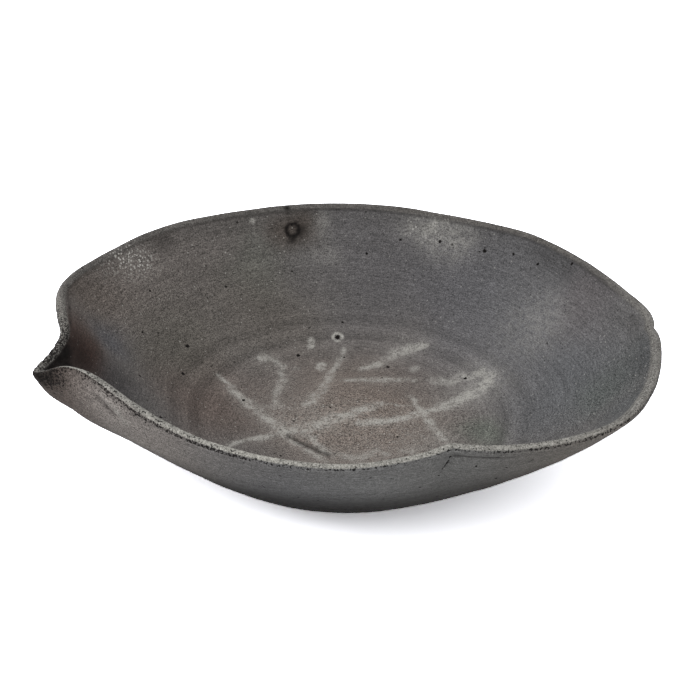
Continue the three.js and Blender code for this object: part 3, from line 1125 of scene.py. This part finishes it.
def clay_material():
    """Dark sandy stoneware: streaks of throwing, grains, pits, pale ash, and a worn gritty lip."""
    s = Shader("dark_stoneware_finish")
    place = s.node("ShaderNodeTexCoord", "Object")
    turned = s.attribute("turned", "Vector")
    sandy = s.attribute("sandy")
    worn_lip = s.attribute("worn_lip")
    torn_share = s.attribute("torn")

    # Noises, and places that wander, so that no grain is round
    speck = s.noise(place, SPECK)
    grain = s.noise(place, GRAIN)
    blotch = s.noise(place, BLOTCH)
    cloud = s.noise(place, CLOUD)
    streak = s.noise(s.vector_math("MULTIPLY", turned, STREAK_STRETCH).outputs[0], STREAK, 1)
    dash = s.noise(s.vector_math("MULTIPLY", turned, DASH_STRETCH).outputs[0], DASH, 1)
    wander = s.noise(place, WANDER, output="Color")
    reach = (WANDER_REACH * MM,) * 3
    uneven = s.vector_math("MULTIPLY_ADD", wander, reach, place).outputs[0]
    pits = s.grains(uneven, SMALL_PITS)
    torn_pits = torn_clay(s, place, torn_share)

    # The tone of the clay, about 1
    sand = s.product(s.range(speck, *USUAL_SPAN, *SPECK_SWAY), sandy)
    tone = s.product(
        s.math("ADD", sand, 1),
        s.sway(dash, USUAL_SPAN, DASH_SWAY),
        s.sway(grain, USUAL_SPAN, GRAIN_SWAY),
        s.sway(cloud, CLOSE_SPAN, CLOUD_SWAY),
        s.sway(streak, CLOSE_SPAN, STREAK_SWAY),
    )
    grey = s.grey(tone)

    # What lies over the clay, from the first to the last
    pale_speckle = s.product(s.range(speck, *PALE_BY_SPECK), s.range(blotch, *PALE_BY_BLOTCH))
    dark_speckle = s.range(speck, *DARK_BY_SPECK)
    sanded = s.range(torn_share, *SAND_BY_TEARS)
    colour = s.laid(s.mix(1.0, s.attribute("clay", "Color"), grey, "MULTIPLY"), [
        # Pale ash haze, and the painted highlight on the raised side of the finger dent
        (s.product(s.attribute("haze_and_dent_highlight"), pale_speckle), ASH_AND_HIGHLIGHT_COLOUR),
        (s.product(s.attribute("ash"), pale_speckle), ASH_AND_HIGHLIGHT_COLOUR),
        (s.attribute("dull_lip"), s.mix(1.0, BACK_RIM_COLOUR, grey, "MULTIPLY")),
        (worn_lip, s.mix(1.0, RIM_COLOUR, grey, "MULTIPLY")),
        # The painted highlight along the crown
        (s.attribute("painted_crown_highlight"), CROWN_HIGHLIGHT_COLOUR),
        (s.product(s.grains(uneven, DARK_GRAINS), DARK_GRAIN_SHARE), SOOT_AND_SHADE_COLOUR),
        (s.product(pits, PIT_SHARE), SOOT_AND_SHADE_COLOUR),
        (s.product(s.grains(uneven, LIGHT_GRAINS), sandy, LIGHT_GRAIN_SHARE), GRIT_AND_GLINT_COLOUR),
        # Soot, pits and painted shade, speckled
        (s.product(s.attribute("dark"), dark_speckle), SOOT_AND_SHADE_COLOUR),
        # White grit, and painted glints at the back left
        (s.product(s.grains(uneven, WHITE_GRAINS), s.attribute("white_grit_and_glints")), GRIT_AND_GLINT_COLOUR),
        (s.product(torn_pits, TEAR_SHARE), SOOT_AND_SHADE_COLOUR),
        (s.product(s.grains(uneven, LIP_SAND), worn_lip, sanded), GRIT_AND_GLINT_COLOUR),
        (black_pit(s, speck), SOOT_AND_SHADE_COLOUR),
    ])

    height = s.math("ADD", s.product(speck, SPECK_BUMP), s.product(dash, DASH_BUMP))
    height = s.math("SUBTRACT", height, s.product(pits, PIT_BUMP))
    height = s.math("SUBTRACT", height, torn_pits)
    roughness = s.range(grain, *ROUGHNESS_BY_GRAIN)
    return s.surface(colour, height, CLAY_BUMP, roughness, CLAY_SPECULAR)


def foot_material():
    """Bare sandy clay, browner and drier than the bowl."""
    s = Shader("bare_foot_clay_finish")
    place = s.node("ShaderNodeTexCoord", "Object")
    grain = s.noise(place, FOOT_GRAIN)
    pits = s.grains(place, FOOT_PITS)
    cloud = s.noise(place, FOOT_CLOUD)
    tone = s.product(
        s.sway(grain, USUAL_SPAN, FOOT_GRAIN_SWAY), s.sway(cloud, USUAL_SPAN, FOOT_CLOUD_SWAY)
    )
    colour = s.laid(s.mix(1.0, FOOT_COLOUR, s.grey(tone), "MULTIPLY"), [
        (s.product(s.grains(place, FOOT_GRAINS), FOOT_GRAIN_SHARE), ASH_AND_HIGHLIGHT_COLOUR),
        (s.product(pits, PIT_SHARE), SOOT_AND_SHADE_COLOUR),
    ])
    height = s.math("SUBTRACT", grain, pits)
    return s.surface(colour, height, FOOT_BUMP, FOOT_ROUGHNESS, FOOT_SPECULAR)


def make_bowl():
    """The thrown bowl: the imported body, rounded finely, with relief and painted corners."""
    bowl = fine_copy("thrown_bowl", "bowl_body", FINE_LEVELS)
    paint_bowl(bowl.data, lay_relief(bowl))
    bowl.data.materials.clear()
    bowl.data.materials.append(clay_material())
    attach(bowl, "root")
    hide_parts("bowl_body")


def arc(centre, radius, start, end):
    """Points on a round corner of a profile, between two angles in degrees."""
    turns = [math.radians(start + (end - start) * i / CORNER_STEPS) for i in range(CORNER_STEPS + 1)]
    return [(centre[0] + radius * math.cos(a), centre[1] + radius * math.sin(a)) for a in turns]


def foot_profile():
    """The foot's section, [radius, height] in millimetres: a flat seat and rounded corners."""
    outer = (foot_high.x - foot_low.x) / 2 / MM
    top = foot_high.z / MM
    corners = read_vectors(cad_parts["foot_ring"].data, "vertices", "co") / MM
    radii = np.hypot(corners[:, 0] - AXIS.x / MM, corners[:, 1] - AXIS.y / MM)
    inner = radii.min()
    seat = radii[corners[:, 2] < FOOT_TOUCHING].max()
    joint = top - FOOT_FILLET
    profile = arc((inner - FOOT_FILLET, joint), FOOT_FILLET, 90, 0)
    profile += arc((inner + FOOT_ROUNDING, FOOT_ROUNDING), FOOT_ROUNDING, 180, 270)
    profile += arc((seat - FOOT_SET_IN, FOOT_ROUNDING), FOOT_ROUNDING, 270, 350)
    profile += arc((outer + FOOT_FILLET, joint), FOOT_FILLET, 180, 90)
    return profile


def make_foot():
    """The foot ring, spun from its section."""
    profile = foot_profile()
    bm = bmesh.new()
    rings = []
    for i in range(FOOT_SEGMENTS):
        turn = 2 * math.pi * i / FOOT_SEGMENTS
        ring = [
            bm.verts.new((AXIS.x + r * MM * math.cos(turn), AXIS.y + r * MM * math.sin(turn), z * MM))
            for r, z in profile
        ]
        rings.append(ring)
    for here, there in zip(rings, rings[1:] + rings[:1]):
        for k in range(len(profile)):
            after = (k + 1) % len(profile)
            bm.faces.new((here[k], there[k], there[after], here[after]))
    bmesh.ops.recalc_face_normals(bm, faces=bm.faces)
    mesh = bpy.data.meshes.new("turned_foot")
    bm.to_mesh(mesh)
    bm.free()
    mesh.shade_smooth()
    foot = bpy.data.objects.new("turned_foot", mesh)
    bpy.context.scene.collection.objects.link(foot)
    mesh.materials.append(foot_material())
    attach(foot, "root")
    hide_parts("foot_ring")


def make_floor():
    """A plain pale floor that shows white and keeps the bowl's shadow."""
    mesh = bpy.data.meshes.new("floor")
    corners = [
        (x * STAGE_HALF, y * STAGE_HALF, 0) for x, y in ((-1, -1), (1, -1), (1, 1), (-1, 1))
    ]
    mesh.from_pydata(corners, [], [(0, 1, 2, 3)])
    floor = bpy.data.objects.new("floor", mesh)
    bpy.context.scene.collection.objects.link(floor)
    s = Shader("floor_white")
    rays = s.node("ShaderNodeLightPath").node.outputs
    mirrored = s.math("MAXIMUM", rays["Is Glossy Ray"], rays["Is Transmission Ray"])
    colour = s.mix(mirrored, STAGE_COLOUR, STAGE_MIRRORED)
    colour = s.mix(rays["Is Camera Ray"], colour, STAGE_SEEN)
    s.put(s.principled.inputs["Base Color"], colour)
    s.principled.inputs["Roughness"].default_value = 1
    s.principled.inputs["Specular IOR Level"].default_value = 0
    mesh.materials.append(s.material)


def make_world():
    """An even surround: white where the camera sees it, straight or mirrored, else a soft grey."""
    world = bpy.data.worlds.new("surround")
    bpy.context.scene.world = world
    world.use_nodes = True
    s = Nodes(world.node_tree)
    background = s.tree.nodes["Background"]
    background.inputs["Color"].default_value = (1, 1, 1, 1)
    rays = s.node("ShaderNodeLightPath").node.outputs
    mirrored = s.math("MAXIMUM", rays["Is Glossy Ray"], rays["Is Transmission Ray"])
    seen = s.math("MAXIMUM", rays["Is Camera Ray"], mirrored)
    s.put(background.inputs["Strength"], s.range(seen, 0, 1, SURROUND_STRENGTH, 1))


def make_window():
    """A square soft lamp."""
    data = bpy.data.lights.new("window", "AREA")
    data.shape = "SQUARE"
    data.size = WINDOW_SIDE
    data.energy = WINDOW_POWER
    window = bpy.data.objects.new("window", data)
    window.location = WINDOW_PLACE
    aim = Vector(WINDOW_AIM) - Vector(WINDOW_PLACE)
    window.rotation_euler = aim.to_track_quat("-Z", "Y").to_euler()
    bpy.context.scene.collection.objects.link(window)


def make_camera():
    """The camera looks from the photograph's place, with the middle of the floor on its pixel."""
    data = bpy.data.cameras.new("camera")
    data.sensor_width = SENSOR_WIDTH
    data.lens = FOCAL_PIXELS / PHOTO_SIDE * SENSOR_WIDTH
    camera = bpy.data.objects.new("camera", data)
    floor_centre = Vector((AXIS.x, AXIS.y, (FLOOR_TOP - FLOOR_DISH) * MM))
    back = Vector((0, -math.cos(CAMERA_ELEVATION), math.sin(CAMERA_ELEVATION)))
    right_of_middle = FLOOR_PIXEL[0] - PHOTO_SIDE / 2
    below_middle = FLOOR_PIXEL[1] - PHOTO_SIDE / 2
    pitch = math.atan(below_middle / FOCAL_PIXELS)
    yaw = math.atan(right_of_middle / FOCAL_PIXELS)
    camera.location = floor_centre + back * CAMERA_DISTANCE
    turn = (-back).to_track_quat("-Z", "Y").to_matrix() @ Euler((pitch, yaw, 0)).to_matrix()
    camera.rotation_euler = turn.to_euler()
    bpy.context.scene.collection.objects.link(camera)
    bpy.context.scene.camera = camera


make_bowl()
make_foot()
make_floor()
make_world()
make_window()
make_camera()
bpy.context.scene.view_settings.view_transform = "Standard"
